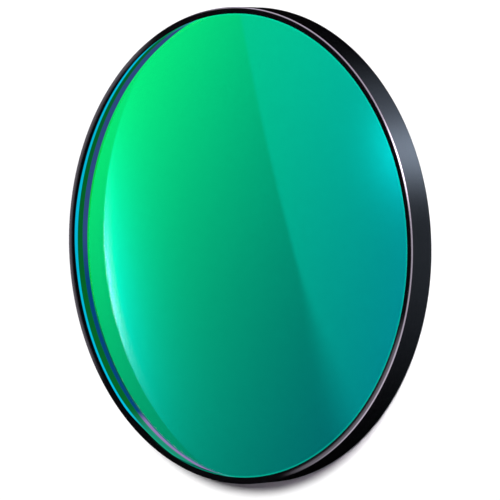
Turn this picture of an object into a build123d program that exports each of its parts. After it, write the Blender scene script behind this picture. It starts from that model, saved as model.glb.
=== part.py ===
from build123d import *

import os

os.makedirs("parts", exist_ok=True)

# An unmounted round bandpass filter: one plane-parallel glass disc, lacquered black round its edge
# and over a narrow rim of its entrance face, with the wavelength-selecting coating on its rear face.
# Millimetres. +Z is the optical axis and points out of the entrance face. The origin is the centre
# of the rear face, on which the filter lies.

# Driving dimensions
filter_diameter = 50.0  # over the lacquer, the size that a filter seat is bored for
filter_thickness = 3.0  # from the coated rear face to the lacquered entrance rim
lacquer_thickness = 0.05  # the same on the edge, round the shoulder and on the entrance face
coating_thickness = 0.01  # the stack of thin films on the rear face
rim_width = 0.7  # of the black rim on the entrance face, measured in from the outside
shoulder_radius = 0.2  # outside radius where the edge rolls over into the entrance face
rear_bevel = 0.1  # leg of the protective bevel ground at 45 degrees on the rear edge

# Sizes that follow
outer_radius = filter_diameter / 2
glass_radius = outer_radius - lacquer_thickness
glass_top = filter_thickness - lacquer_thickness
glass_shoulder = shoulder_radius - lacquer_thickness
bevel_top = coating_thickness + rear_bevel
coating_radius = glass_radius - rear_bevel
aperture_radius = outer_radius - rim_width


def disc(radius, bottom, top):
    """A round plate about the optical axis between two heights."""
    upright = (Align.CENTER, Align.CENTER, Align.MIN)
    return Pos(0, 0, bottom) * Cylinder(radius, top - bottom, align=upright)


def lowest_edge(solid):
    """The circle at the foot of a turned solid."""
    return solid.edges().group_by(Axis.Z)[0]


def highest_edge(solid):
    """The circle at the top of a turned solid."""
    return solid.edges().group_by(Axis.Z)[-1]


def make_glass():
    """The polished disc. Its entrance edge is rolled over, and its rear edge has a flat bevel."""
    blank = disc(glass_radius, coating_thickness, glass_top)
    bevelled = chamfer(lowest_edge(blank), rear_bevel)
    return fillet(highest_edge(bevelled), glass_shoulder)


def make_lacquer(glass):
    """One unbroken black coat: a sleeve on the ground edge that ends at the rear bevel, rolls over
    the shoulder at an even thickness and ends on the entrance face in a lip that slopes to the glass."""
    outside = disc(outer_radius, bevel_top, filter_thickness)
    rounded = fillet(highest_edge(outside), shoulder_radius)
    lip = Pos(0, 0, glass_top) * Cone(
        aperture_radius,
        aperture_radius + lacquer_thickness,
        lacquer_thickness,
        align=(Align.CENTER, Align.CENTER, Align.MIN),
    )
    return rounded - glass - lip


def make_coating():
    """The bandpass coating, which covers the flat of the rear face up to the bevel."""
    return disc(coating_radius, 0, coating_thickness)


glass_substrate = make_glass()
nodes = {
    "glass_substrate": glass_substrate,
    "edge_blackening": make_lacquer(glass_substrate),
    "bandpass_coating": make_coating(),
}

for name, solid in nodes.items():
    export_step(solid, f"parts/{name}.step")
    size = solid.bounding_box().size
    print(f"{name}: {solid.volume:.3f} mm3, {size.X:.3f} x {size.Y:.3f} x {size.Z:.3f} mm")
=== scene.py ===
"""Looks of an unmounted round bandpass filter that lies on a white table: a clear glass disc with a green to
teal dielectric mirror on its rear face, lacquered black round its edge. Metres, +Z along the optical axis."""

import math

import bmesh
import bpy
import numpy as np
from mathutils import Matrix, Vector


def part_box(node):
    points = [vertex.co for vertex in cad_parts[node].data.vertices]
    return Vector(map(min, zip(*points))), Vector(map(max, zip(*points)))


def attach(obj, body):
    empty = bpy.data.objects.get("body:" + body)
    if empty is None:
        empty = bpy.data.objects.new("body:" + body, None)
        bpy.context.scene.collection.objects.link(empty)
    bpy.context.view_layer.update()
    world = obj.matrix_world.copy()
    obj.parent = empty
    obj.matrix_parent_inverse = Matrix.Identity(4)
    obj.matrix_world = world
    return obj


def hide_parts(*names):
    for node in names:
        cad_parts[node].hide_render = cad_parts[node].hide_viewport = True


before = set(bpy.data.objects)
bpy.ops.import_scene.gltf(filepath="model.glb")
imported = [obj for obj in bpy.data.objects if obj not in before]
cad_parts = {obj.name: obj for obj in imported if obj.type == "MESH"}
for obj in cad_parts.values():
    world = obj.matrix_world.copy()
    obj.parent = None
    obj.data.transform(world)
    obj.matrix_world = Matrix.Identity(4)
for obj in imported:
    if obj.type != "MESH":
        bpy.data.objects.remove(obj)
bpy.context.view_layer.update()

# Sizes, read from the solids, or repeated here where a box can't give them
MM = 0.001
GLASS_LOW, GLASS_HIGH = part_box("glass_substrate")
LACQUER_LOW, LACQUER_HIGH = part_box("edge_blackening")
FILM_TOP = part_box("bandpass_coating")[1].z
OUTER_RADIUS = LACQUER_HIGH.x
GLASS_RADIUS = GLASS_HIGH.x
LACQUER_THICKNESS = LACQUER_HIGH.z - GLASS_HIGH.z
REAR_BEVEL = LACQUER_LOW.z - GLASS_LOW.z
RIM_WIDTH = 0.7 * MM
SHOULDER_RADIUS = 0.2 * MM
APERTURE_RADIUS = OUTER_RADIUS - RIM_WIDTH
FIT_GAP = 0.002 * MM  # keeps the clear glass off the surfaces that it touches, which would flicker
AROUND = 720  # faces round a turned piece
SHARP_ANGLE = math.radians(30)

# Camera: how the disc is turned in front of a level camera, and how far away it lies
VIEW_YAW = math.radians(-43.78)
VIEW_PITCH = math.radians(0.22)
VIEW_ROLL = math.radians(2.05)
VIEW_OFFSET = Vector((0.287, 0.522)) * MM
VIEW_DISTANCE = 415.5 * MM
LENS_MM = 284.06
CLIP_START, CLIP_END = 0.01, 20


# Node trees

WHITE = (1, 1, 1, 1)


class Wire:
    """A value socket of a node tree. Arithmetic on wires adds Math nodes to the tree."""

    def __init__(self, paint, socket):
        self.paint = paint
        self.socket = socket

    def other(self, name):
        """Another output of the same node."""
        return Wire(self.paint, self.socket.node.outputs[name])

    def __add__(self, other):
        return self.paint.math("ADD", self, other)

    def __radd__(self, other):
        return self.paint.math("ADD", other, self)

    def __sub__(self, other):
        return self.paint.math("SUBTRACT", self, other)

    def __rsub__(self, other):
        return self.paint.math("SUBTRACT", other, self)

    def __mul__(self, other):
        return self.paint.math("MULTIPLY", self, other)

    def __rmul__(self, other):
        return self.paint.math("MULTIPLY", other, self)

    def __truediv__(self, other):
        return self.paint.math("DIVIDE", self, other)

    def exp(self):
        return self.paint.math("EXPONENT", self)

    def root(self):
        return self.paint.math("SQRT", self)

    def larger(self, other):
        """The larger of the two values."""
        return self.paint.math("MAXIMUM", self, other)

    def bell(self, middle, width):
        """1 at the middle, and down to about a third one width away from it."""
        away = (self - middle) / width
        return (0 - away * away).exp()

    def step(self, start, end):
        """0 before start, 1 after end and smooth between them. Start may be the larger."""
        inputs = {"Value": self, "From Min": start, "From Max": end}
        return self.paint.node("ShaderNodeMapRange", {"interpolation_type": "SMOOTHSTEP"}, inputs)


class Paint:
    """The node tree of a new material or of the world, emptied and ready to be drawn on."""

    def __init__(self, tree):
        self.tree = tree
        tree.nodes.clear()

    def node(self, kind, settings=None, inputs=None, output=0):
        """Adds a node: first its settings, then the values or links of its sockets."""
        made = self.tree.nodes.new(kind)
        for name, value in (settings or {}).items():
            setattr(made, name, value)
        for name, value in (inputs or {}).items():
            if isinstance(value, Wire):
                self.tree.links.new(value.socket, made.inputs[name])
            else:
                made.inputs[name].default_value = value
        return Wire(self, made.outputs[output]) if made.outputs else None

    def place(self):
        """Object coordinates in millimetres."""
        metres = self.node("ShaderNodeTexCoord", output="Object")
        return self.node("ShaderNodeMapping", {}, {"Vector": metres, "Scale": (1000, 1000, 1000)})

    def split(self, vector):
        first = self.node("ShaderNodeSeparateXYZ", {}, {0: vector})
        return [first.other(axis) for axis in "XYZ"]

    def math(self, operation, *operands):
        return self.node("ShaderNodeMath", {"operation": operation}, dict(enumerate(operands)))

    def vector(self, operation, *operands):
        return self.node("ShaderNodeVectorMath", {"operation": operation}, dict(enumerate(operands)))

    def noise(self, vector, scale, detail=2.0):
        return self.node("ShaderNodeTexNoise", {}, {"Vector": vector, "Scale": scale, "Detail": detail})

    def blend(self, factor, first, second):
        """A colour that goes from the first to the second as the factor goes from 0 to 1."""
        inputs = {0: factor, 6: first, 7: second}
        return self.node("ShaderNodeMix", {"data_type": "RGBA"}, inputs, output=2)

    def light(self, red, green, blue):
        """An emission shader with a level for each colour."""
        colour = self.node("ShaderNodeCombineColor", {}, {0: red, 1: green, 2: blue})
        return self.node("ShaderNodeEmission", {}, {"Color": colour, "Strength": 1.0})

    def over_clear(self, shader):
        """The shader's light, added to what lies behind it."""
        clear = self.node("ShaderNodeBsdfTransparent", {}, {"Color": WHITE})
        return self.node("ShaderNodeAddShader", {}, {0: clear, 1: shader})

    def both(self, factor, first, second):
        """The second shader over the first, by the factor."""
        return self.node("ShaderNodeMixShader", {}, {0: factor, 1: first, 2: second})

    def surface(self, shader, kind="ShaderNodeOutputMaterial"):
        self.node(kind, {}, {"Surface": shader})


def new_paint(name):
    material = bpy.data.materials.new(name)
    material.use_nodes = True
    return material, Paint(material.node_tree)


def ink(red, green, blue):
    """A colour given as a screen shows it, 0 to 255, as linear light."""
    shown = [value / 255 for value in (red, green, blue)]
    return (*[v / 12.92 if v < 0.04045 else ((v + 0.055) / 1.055) ** 2.4 for v in shown], 1)


# Finishes

STREAK_PITCH = 0.12  # mm between brush marks round the edge
STREAK_STRETCH = 20  # how many times longer than wide a mark is


def black_lacquer():
    """Black lacquer brushed on across the edge: fine streaks that run along the axis change its gloss,
    its relief and a little its grey."""
    material, paint = new_paint("black_lacquer")
    whole = paint.place()
    drawn = paint.node("ShaderNodeMapping", {}, {"Vector": whole, "Scale": (1, 1, 1 / STREAK_STRETCH)})
    streaks = paint.noise(drawn, 1 / STREAK_PITCH, 3.0)
    patches = paint.noise(drawn, 0.1 / STREAK_PITCH)
    bump = {"Height": streaks, "Strength": 0.1, "Distance": 0.01 * MM}
    inputs = {
        "Base Color": paint.blend(streaks.step(0.45, 0.8), ink(4, 4, 5), ink(12, 12, 14)),
        "Roughness": 0.12 + streaks * 0.04 + patches * 0.04,
        "Specular IOR Level": 0.5,
        "Normal": paint.node("ShaderNodeBump", {}, bump),
    }
    paint.surface(paint.node("ShaderNodeBsdfPrincipled", {}, inputs))
    return material


BAND_BLUR = 0.05  # mm, half the width of an edge between two colours


def painted_light_behind_glass():
    """The inside of the lacquer, as it shows through the glass: painted light and shade in bands by height,
    which stand in for the colours that the film throws on it. From the entrance face down they are black, a
    painted shade under the rim, then cyan, dark green, violet and bright green, which glow. Their heights, in
    mm, and their tones change from the disc's lower side, where up is -1, to its upper side."""
    material, paint = new_paint("painted_light_behind_glass")
    _, y, z = paint.split(paint.place())
    up = y * (MM / OUTER_RADIUS)
    low = up.step(-0.68, -0.8)
    high = up.step(0.8, 0.95)
    ends = up.step(-0.88, -0.98) * 1.5 + up.step(0.9, 1.02) * 1.1
    cyan_top = 1.92 + up.bell(0.12, 0.2) * 0.14 - low * 0.35 - ends
    green_top = 1.6 - up.step(-0.62, -0.85) * 0.3
    violet_top = 0.83 + up * 0.27
    foot_top = 0.12 + up * 0.12 + up.step(0.87, 1.01) * 0.62

    cyan = paint.blend(high, paint.blend(low, ink(5, 195, 232), ink(24, 165, 130)), ink(12, 128, 92))
    green = paint.blend(high, paint.blend(low, ink(6, 100, 40), ink(30, 143, 116)), ink(10, 112, 60))
    blue = paint.blend(up.step(-0.15, 0.1), ink(8, 66, 122), ink(50, 76, 134))
    violet = paint.blend(up.step(-0.7, -0.76), blue, ink(146, 121, 178))
    foot = paint.blend(up.step(0.0, 0.8), ink(14, 165, 58), ink(6, 234, 124))

    def under(edge, above, below):
        return paint.blend((z - edge).step(BAND_BLUR, -BAND_BLUR), above, below)

    bands = under(green_top, cyan, under(violet_top, green, under(foot_top, violet, foot)))
    # painted shade: the black band at the top, under the rim's overhang
    bands = under(cyan_top, ink(6, 6, 9), bands)
    # painted light: the bands glow through Emission, and a quarter of their colour is also base colour
    inputs = {
        "Base Color": paint.blend(0.75, bands, ink(0, 0, 0)),
        "Roughness": 0.6,
        "Specular IOR Level": 0.0,
        "Emission Color": bands,
        "Emission Strength": 0.85,
    }
    paint.surface(paint.node("ShaderNodeBsdfPrincipled", {}, inputs))
    return material


def polished_glass():
    """Clear glass with an anti-reflection coat: light goes through it unbent, and from outside it has a weak
    gloss, which rises towards grazing light."""
    material, paint = new_paint("polished_glass")
    clear = paint.node("ShaderNodeBsdfTransparent", {}, {"Color": WHITE})
    gloss = paint.node("ShaderNodeBsdfAnisotropic", {}, {"Color": WHITE, "Roughness": 0.0})
    outside = 1 - paint.node("ShaderNodeNewGeometry", output="Backfacing")
    fresnel = paint.node("ShaderNodeFresnel", {}, {"IOR": 1.1})
    paint.surface(paint.both(fresnel * outside, clear, gloss))
    return material


def gleaming_glass():
    """The narrow ring of the entrance face against the lacquer, with a painted gleam in the film's colour.
    The gleam is left off on the side where the lacquer's inside shows behind it, and from below, where the
    film would mirror it."""
    material, paint = new_paint("gleaming_glass")
    x, _, _ = paint.split(paint.place())
    outside = 1 - paint.node("ShaderNodeNewGeometry", output="Backfacing")
    inputs = {
        "Base Color": (0.0, 0.8, 0.5, 1),
        "Roughness": 0.5,
        "Specular IOR Level": 0.0,
        "Alpha": x.step(-14, -4) * outside * 0.25,
    }
    paint.surface(paint.node("ShaderNodeBsdfPrincipled", {}, inputs))
    return material


def ground_glass():
    """The ground bevel on the rear edge: dark from outside, and seen through the glass it has a painted glow
    for the light of the film beside it, most at the disc's upper side."""
    material, paint = new_paint("ground_glass")
    _, y, _ = paint.split(paint.place())
    up = y * (MM / OUTER_RADIUS)
    lower = paint.blend(up.step(-0.8, -0.6), ink(45, 125, 130), ink(9, 90, 70))
    upper = paint.blend(up.step(0.3, 0.9), ink(10, 205, 66), ink(6, 236, 122))
    inside = paint.node("ShaderNodeNewGeometry", output="Backfacing")
    glow = paint.blend(inside, ink(0, 0, 0), paint.blend(up.step(-0.45, -0.05), lower, upper))
    inputs = {
        "Base Color": paint.blend(inside, ink(22, 26, 25), ink(0, 0, 0)),
        "Roughness": 0.6,
        "Specular IOR Level": 0.1,
        "Emission Color": glow,
        "Emission Strength": 1.0,
    }
    paint.surface(paint.node("ShaderNodeBsdfPrincipled", {}, inputs))
    return material


# Share of green in the film's green and blue together: at the middle, and its change per mm
GREEN_SHARE, GREEN_PER_X, GREEN_PER_Y = 0.6255, -0.00496, 0.00364
FILM_REFLECTANCE = 0.95


def dielectric_film():
    """The stack of films on the rear face: a mirror that sends back green and blue and lets red through. Its
    colour goes evenly from green to teal across the aperture, a painted shift that stands in for part of the
    change in the colour of its reflection."""
    material, paint = new_paint("dielectric_film")
    x, y, _ = paint.split(paint.place())
    share = GREEN_SHARE + x * GREEN_PER_X + y * GREEN_PER_Y
    most, least = 0.85, 0.45
    green = (0, FILM_REFLECTANCE * most, FILM_REFLECTANCE * (1 - most), 1)
    teal = (0, FILM_REFLECTANCE * least, FILM_REFLECTANCE * (1 - least), 1)
    inputs = {
        "Base Color": paint.blend((most - share) / (most - least), green, teal),
        "Metallic": 1.0,
        "Roughness": 0.0,
    }
    paint.surface(paint.node("ShaderNodeBsdfPrincipled", {}, inputs))
    return material


# Shapes


def turned(name, profile, zones, materials):
    """Revolves a closed profile of (radius, height) points about the optical axis. A mesh point at turn t is
    (radius cos t, radius sin t, height), and a profile point on the axis becomes one pole. zones gives the
    material of each profile segment."""
    turns = np.linspace(0, 2 * np.pi, AROUND, endpoint=False)
    circle = np.stack([np.cos(turns), np.sin(turns)], 1)
    here = np.arange(AROUND)
    after = np.roll(here, -1)
    blocks, rings, total = [], [], 0
    for radius, height in profile:
        ring = circle * radius if radius > 0 else np.zeros((1, 2))
        rings.append(total + (here if radius > 0 else 0 * here))
        blocks.append(np.column_stack([ring, np.full(len(ring), height)]))
        total += len(ring)
    faces, slots = [], []
    for index, zone in enumerate(zones):
        low = rings[index]
        high = rings[(index + 1) % len(profile)]
        corners = [low[here], low[after], high[after], high[here]]
        if low[0] == low[1]:
            corners = corners[1:]
        elif high[0] == high[1]:
            corners = corners[:3]
        faces += np.stack(corners, 1).tolist()
        slots += [zone] * AROUND
    mesh = bpy.data.meshes.new(name)
    mesh.from_pydata(np.concatenate(blocks).tolist(), [], faces)
    mesh.polygons.foreach_set("material_index", slots)
    mesh.polygons.foreach_set("use_smooth", [True] * len(faces))
    for material in materials:
        mesh.materials.append(material)
    outwards(mesh)
    return new_piece(name, mesh)


def outwards(mesh):
    """Turns the faces of a closed mesh outwards and marks its edges from SHARP_ANGLE up as sharp."""
    work = bmesh.new()
    work.from_mesh(mesh)
    bmesh.ops.recalc_face_normals(work, faces=work.faces)
    for edge in work.edges:
        edge.smooth = edge.calc_face_angle(math.pi) < SHARP_ANGLE
    work.to_mesh(mesh)
    work.free()


def new_piece(name, data):
    piece = bpy.data.objects.new(name, data)
    bpy.context.scene.collection.objects.link(piece)
    return piece


def arc(radius, height, round_radius, start, end, steps=14):
    """Profile points on a circular arc about (radius, height), between two angles in degrees."""
    angles = np.radians(np.linspace(start, end, steps))
    return [(radius + round_radius * math.cos(a), height + round_radius * math.sin(a)) for a in angles]


def lacquer_coat():
    """The black coat: up the edge, round the shoulder, in over the rim, down the sloping lip, and back along
    the glass that it covers. Mirrors don't show it, since the film would repeat the painted light on its
    inside."""
    centre = (OUTER_RADIUS - SHOULDER_RADIUS, LACQUER_HIGH.z - SHOULDER_RADIUS)
    outside = [(OUTER_RADIUS, LACQUER_LOW.z), *arc(*centre, SHOULDER_RADIUS, 0, 90)]
    lip = [(APERTURE_RADIUS + LACQUER_THICKNESS, LACQUER_HIGH.z), (APERTURE_RADIUS, GLASS_HIGH.z)]
    inside = [*arc(*centre, SHOULDER_RADIUS - LACQUER_THICKNESS, 90, 0), (GLASS_RADIUS, LACQUER_LOW.z)]
    profile = outside + lip + inside
    zones = [0] * len(outside) + [1] * (len(inside) + 1) + [0]
    coat = turned("lacquer_coat", profile, zones, [black_lacquer(), painted_light_behind_glass()])
    coat.visible_glossy = False
    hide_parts("edge_blackening")
    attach(coat, "root")
    return coat


GLEAM_WIDTH = 0.15 * MM


def clear_disc():
    """The glass, a hair smaller than its solid: rear face, bevel, edge, rolled shoulder, entrance face."""
    foot = GLASS_LOW.z + FIT_GAP
    top = GLASS_HIGH.z - FIT_GAP
    side = GLASS_RADIUS - FIT_GAP
    roll = SHOULDER_RADIUS - LACQUER_THICKNESS
    bevel = [(side - REAR_BEVEL, foot), (side, foot + REAR_BEVEL)]
    edge = arc(side - roll, top - roll, roll, 0, 90)
    gleam = [(APERTURE_RADIUS, top), (APERTURE_RADIUS - GLEAM_WIDTH, top)]
    profile = [(0, foot), *bevel, *edge, *gleam, (0, top)]
    zones = [0, 1] + [0] * (len(edge) + 1) + [2, 0]
    glass = turned("clear_disc", profile, zones, [polished_glass(), ground_glass(), gleaming_glass()])
    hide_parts("glass_substrate")
    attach(glass, "root")
    return glass


def dress_film():
    """The film keeps its solid and gets its finish."""
    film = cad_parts["bandpass_coating"]
    film.data.materials.clear()
    film.data.materials.append(dielectric_film())
    return film


# Camera


def place_camera():
    """Turns the row's axes into the camera's by yaw, pitch and roll, backs off along the view, and returns
    where the camera is."""
    roll = Matrix.Rotation(VIEW_ROLL, 3, "Z")
    pitch = Matrix.Rotation(VIEW_PITCH, 3, "X")
    yaw = Matrix.Rotation(VIEW_YAW, 3, "Y")
    to_row = (roll @ pitch @ yaw).transposed()
    data = bpy.data.cameras.new("camera")
    data.lens = LENS_MM
    data.clip_start, data.clip_end = CLIP_START, CLIP_END
    camera = new_piece("camera", data)
    place = to_row @ Vector((-VIEW_OFFSET.x, -VIEW_OFFSET.y, VIEW_DISTANCE))
    camera.matrix_world = Matrix.Translation(place) @ to_row.to_4x4()
    bpy.context.scene.camera = camera
    return place


# Table and room

SQUARE = ((-1, -1), (1, -1), (1, 1), (-1, 1))
TABLE_HALF = 3.0
TABLE_COLOUR = (0.9, 0.9, 0.9, 1)
FILL_LEVEL = 0.03
SUN_DIRECTION = Vector((1.0, 1.25, 3.0))
SUN_STRENGTH = 4.1
SUN_ANGLE = math.radians(22)


def flat_sheet(name, middle, half, height, material):
    """A level square of the stage, whose corners lie half a side from its middle each way."""
    mesh = bpy.data.meshes.new(name)
    corners = [(middle[0] + x * half, middle[1] + y * half, height) for x, y in SQUARE]
    mesh.from_pydata(corners, [], [(0, 1, 2, 3)])
    mesh.materials.append(material)
    sheet = new_piece(name, mesh)
    return sheet


def table_top():
    """A matt white table. Gloss doesn't show it, so that the black edge stays black beside it."""
    material, paint = new_paint("white_table")
    paint.surface(paint.node("ShaderNodeBsdfDiffuse", {}, {"Color": TABLE_COLOUR}))
    table = flat_sheet("table_top", (0, 0), TABLE_HALF, 0, material)
    table.visible_glossy = False


def surroundings():
    """A plain room: full white to the camera, in gloss and through glass, and a weak even fill as a light."""
    world = bpy.data.worlds.new("surroundings")
    world.use_nodes = True
    bpy.context.scene.world = world
    paint = Paint(world.node_tree)
    rays = paint.node("ShaderNodeLightPath", output="Is Camera Ray")
    seen = rays.larger(rays.other("Is Glossy Ray")).larger(rays.other("Is Transmission Ray"))
    white = {"Color": WHITE, "Strength": FILL_LEVEL + seen * (1 - FILL_LEVEL)}
    paint.surface(paint.node("ShaderNodeBackground", {}, white), "ShaderNodeOutputWorld")


def sun():
    """A large soft key light, up to the picture's right, which throws the shadow down and to the left."""
    data = bpy.data.lights.new("sun", "SUN")
    data.energy = SUN_STRENGTH
    data.angle = SUN_ANGLE
    light = new_piece("sun", data)
    light.rotation_mode = "QUATERNION"
    light.rotation_quaternion = SUN_DIRECTION.to_track_quat("Z", "Y")
    light.visible_glossy = False


# Cards and skies that show in gloss alone

CARD_HALF = 45 * MM
SOFTBOX_HEIGHT = 120 * MM
BRIGHT_EDGE_HEIGHT = 118 * MM
RIM_LIGHT_HEIGHT = 4.5 * MM  # close to the rim, so that the lacquer's soft gloss keeps its fine lines
FILM_SKY_RADIUS = 2.0
LACQUER_SKY_RADIUS = 2.2  # the outer of the two: it is opaque, and the other is clear


def gloss_card(card, receivers):
    """Makes a card show only in the gloss of a few pieces."""
    group = bpy.data.collections.new(card.name + "_receivers")
    for piece in receivers:
        group.objects.link(piece)
    card.light_linking.receiver_collection = group
    card.visible_camera = False
    card.visible_diffuse = False
    card.visible_shadow = False


def image_card(name, eye, mirror, height, half, draw, receivers):
    """A level card, drawn as its mirror image lies on the level plane at the height of the mirror. A ray from
    the eye that turns over there at P goes on as if from the eye's own mirror image, so it meets the card at
    P grown by lift, less lift times the eye's place, and lift is the card's height above the mirror over the
    eye's. draw gets the millimetres of P and returns the card's shader."""
    lift = (height - mirror) / (eye.z - mirror)
    middle = -eye.xy * lift
    material, paint = new_paint(name)
    shrink = 1 / (1 + lift)
    shift = -middle * (shrink / MM)
    inputs = {"Vector": paint.place(), "Scale": (shrink, shrink, 1), "Location": (shift.x, shift.y, 0)}
    image = paint.node("ShaderNodeMapping", {}, inputs)
    x, y, _ = paint.split(image)
    paint.surface(draw(paint, x, y))
    card = flat_sheet(name, middle, half * (1 + lift), height, material)
    gloss_card(card, receivers)


# Image of the softbox in the film, mm. Its frame shows as an arc, with the brightest light just inside, and a
# second, cooler cloth starts at an edge that runs down the face and blurs towards its lower end.
ARC_CENTRE, ARC_RADIUS = (5.8, 1.03), 28.2
SECOND_EDGE = (5.65, -0.31, 0.0022)  # where the cloth starts: x at the middle, then per mm and mm2 of y
SECOND_MIDDLE = 9  # the x at which the second cloth's level and share of blue are given
HALO_PLACE, HALO_WIDTH = (23.0, 10.0), 5
FIRST_LEVEL, FIRST_BLUE = 0.5545, 0.893
SECOND_LEVEL, SECOND_BLUE = 0.6645, 1.022
FRAME_GREEN, FRAME_BLUE = 0.84, 2.4
HALO_GREEN, HALO_BLUE = 0.83, 1.18


def inside_arc(x, y, centre):
    """How far inside the frame's arc a point lies, in mm."""
    from_x, from_y = x - centre[0], y - centre[1]
    return ARC_RADIUS - (from_x * from_x + from_y * from_y).root()


def draw_softbox(paint, x, y):
    """Two cloths whose light falls off evenly, each with its own share of blue, the glow just inside the
    frame's arc, and a soft halo at the upper right."""
    across = x - SECOND_MIDDLE
    first = FIRST_LEVEL * (y * 0.0182 - x * 0.0234).exp()
    second = SECOND_LEVEL * (y * 0.01 - across * 0.0092 + across * y * 0.0003).exp()
    inward = inside_arc(x, y, ARC_CENTRE)
    inside = inward.step(-0.15, 0.15)
    frame_glow = inside * (0 - inward / 3.4).exp() * y.bell(-2.1, 11.7)
    start, slope, bend = SECOND_EDGE
    past = x - (start + y * slope + y * y * bend)
    blur = 0.4 + y.step(-1, -20) * 3.5
    behind = (past / blur).step(-1, 1)
    halo = x.bell(HALO_PLACE[0], HALO_WIDTH) * y.bell(HALO_PLACE[1], HALO_WIDTH)
    first = first * (0.95 + inside * 0.05) * (1 - behind)
    second = second * behind
    green = first + second + frame_glow * FRAME_GREEN + halo * HALO_GREEN
    first_blue = first * FIRST_BLUE * (x * 0.0058).exp()
    second_blue = second * SECOND_BLUE * (across * 0.0018 + y * 0.0058).exp()
    blue = first_blue + second_blue + frame_glow * FRAME_BLUE + halo * HALO_BLUE
    return paint.light(green, green, blue)


# Image in the entrance face of the frame's bright edge, the one thing that shows white there
FRONT_ARC_CENTRE = (8.8, 1.03)
BRIGHT_EDGE_FADE = 0.55  # mm in which it falls to about a third
BRIGHT_EDGE_LEVEL = 85


def draw_bright_edge(paint, x, y):
    """A white line along the arc, brightest below the middle, that fades inwards."""
    inward = inside_arc(x, y, FRONT_ARC_CENTRE)
    line = inward.step(-0.1, 0.1) * (0 - inward / BRIGHT_EDGE_FADE).exp() * inward.step(1.6, 0.9)
    level = line * y.bell(-4, 6) * BRIGHT_EDGE_LEVEL
    return paint.over_clear(paint.light(level, level, level))


RIM_LEFT, RIM_LEFT_LEVEL = (-0.966, 0.26), 1.9
RIM_LOWER_RIGHT, RIM_LOWER_RIGHT_LEVEL = (0.68, -0.73), 2.6


def draw_rim_light(paint, x, y):
    """The grey on the outer part of the rim at the left, and a finer line at its lower right. Each fades
    with the cosine between a point's direction from the middle and the direction of its side."""
    radius = (x * x + y * y).root()
    left = (x * RIM_LEFT[0] + y * RIM_LEFT[1]) / radius
    lower_right = (x * RIM_LOWER_RIGHT[0] + y * RIM_LOWER_RIGHT[1]) / radius
    grey = radius.step(24.45, 24.8) * left.step(0.62, 0.8) * RIM_LEFT_LEVEL
    fine = radius.step(24.6, 24.75) * lower_right.step(0.86, 0.95) * RIM_LOWER_RIGHT_LEVEL
    level = grey + fine
    return paint.over_clear(paint.light(level, level * 0.93, level * 1.1))


def dome(name, radius, material, receivers):
    """A sphere about the disc, turned from the half circle (radius cos a, radius sin a), with a point for
    each pole."""
    rows = 24
    angles = np.linspace(-np.pi / 2, np.pi / 2, rows + 1)[1:-1]
    half_circle = [(radius * math.cos(a), radius * math.sin(a)) for a in angles]
    profile = [(0, -radius), *half_circle, (0, radius)]
    globe = turned(name, profile, [0] * rows, [material])
    gloss_card(globe, receivers)


def film_sky(receivers):
    """What the film mirrors outside the softbox: a pale room, darker overhead."""
    material, paint = new_paint("film_sky")
    direction = paint.vector("NORMALIZE", paint.node("ShaderNodeTexCoord", output="Object"))
    _, _, z = paint.split(direction)
    level = 0.85 - z.step(0, 1) * 0.3
    paint.surface(paint.over_clear(paint.light(level, level, level)))
    dome("film_sky", FILM_SKY_RADIUS, material, receivers)


# Lights in the lacquer: turn and width in degrees, and level
BAND_LEVEL = 8.5
LAMP = (19, 6.5, 60)
EDGE_GLOWS = ((0, 25, 0.33), (21, 8, 3.4), (34, 9, 0.5))
SHOULDER_TINT = (1, 0.88, 1.08)
EDGE_TINT = (0.83, 1, 1.27)


def lacquer_sky(eye, receivers):
    """What the lacquer mirrors: a band of light for its shoulder, with a small brilliant lamp in it, and a
    weak glow for its edge. The band and the lamp stay above the table. The light that comes from a direction
    shows where the lacquer's outward normal halves that direction and the eye's, so it is drawn by that
    normal: turn goes round the disc, in degrees, and slope is the sine of the normal's height."""
    material, paint = new_paint("lacquer_sky")
    direction = paint.vector("NORMALIZE", paint.node("ShaderNodeTexCoord", output="Object"))
    normal = paint.vector("NORMALIZE", paint.vector("ADD", direction, tuple(eye.normalized())))
    x, y, slope = paint.split(normal)
    turn = paint.math("ARCTAN2", y, x) * math.degrees(1)
    _, _, rise = paint.split(direction)

    def glow(middle, width, level):
        return turn.bell(middle, width) * level

    band = slope.step(0.15, 0.4) * slope.step(0.99, 0.8) * rise.step(-0.25, 0.05)
    lit = turn.step(-72, -45) * turn.step(103, 85)
    shoulder = band * (lit * BAND_LEVEL + glow(*LAMP))
    edge = sum(glow(*light) for light in EDGE_GLOWS) * slope.step(0.3, 0.15)
    tints = zip(SHOULDER_TINT, EDGE_TINT)
    paint.surface(paint.light(*(shoulder * first + edge * second for first, second in tints)))
    dome("lacquer_sky", LACQUER_SKY_RADIUS, material, receivers)


bpy.context.scene.view_settings.view_transform = "Standard"
eye = place_camera()
coat = lacquer_coat()
glass = clear_disc()
film = dress_film()

surroundings()
table_top()
sun()
film_sky([film])
lacquer_sky(eye, [coat])
image_card("softbox", eye, FILM_TOP, SOFTBOX_HEIGHT, CARD_HALF, draw_softbox, [film])
image_card("bright_edge", eye, GLASS_HIGH.z, BRIGHT_EDGE_HEIGHT, CARD_HALF, draw_bright_edge, [glass])
image_card("rim_light", eye, LACQUER_HIGH.z, RIM_LIGHT_HEIGHT, CARD_HALF, draw_rim_light, [coat])
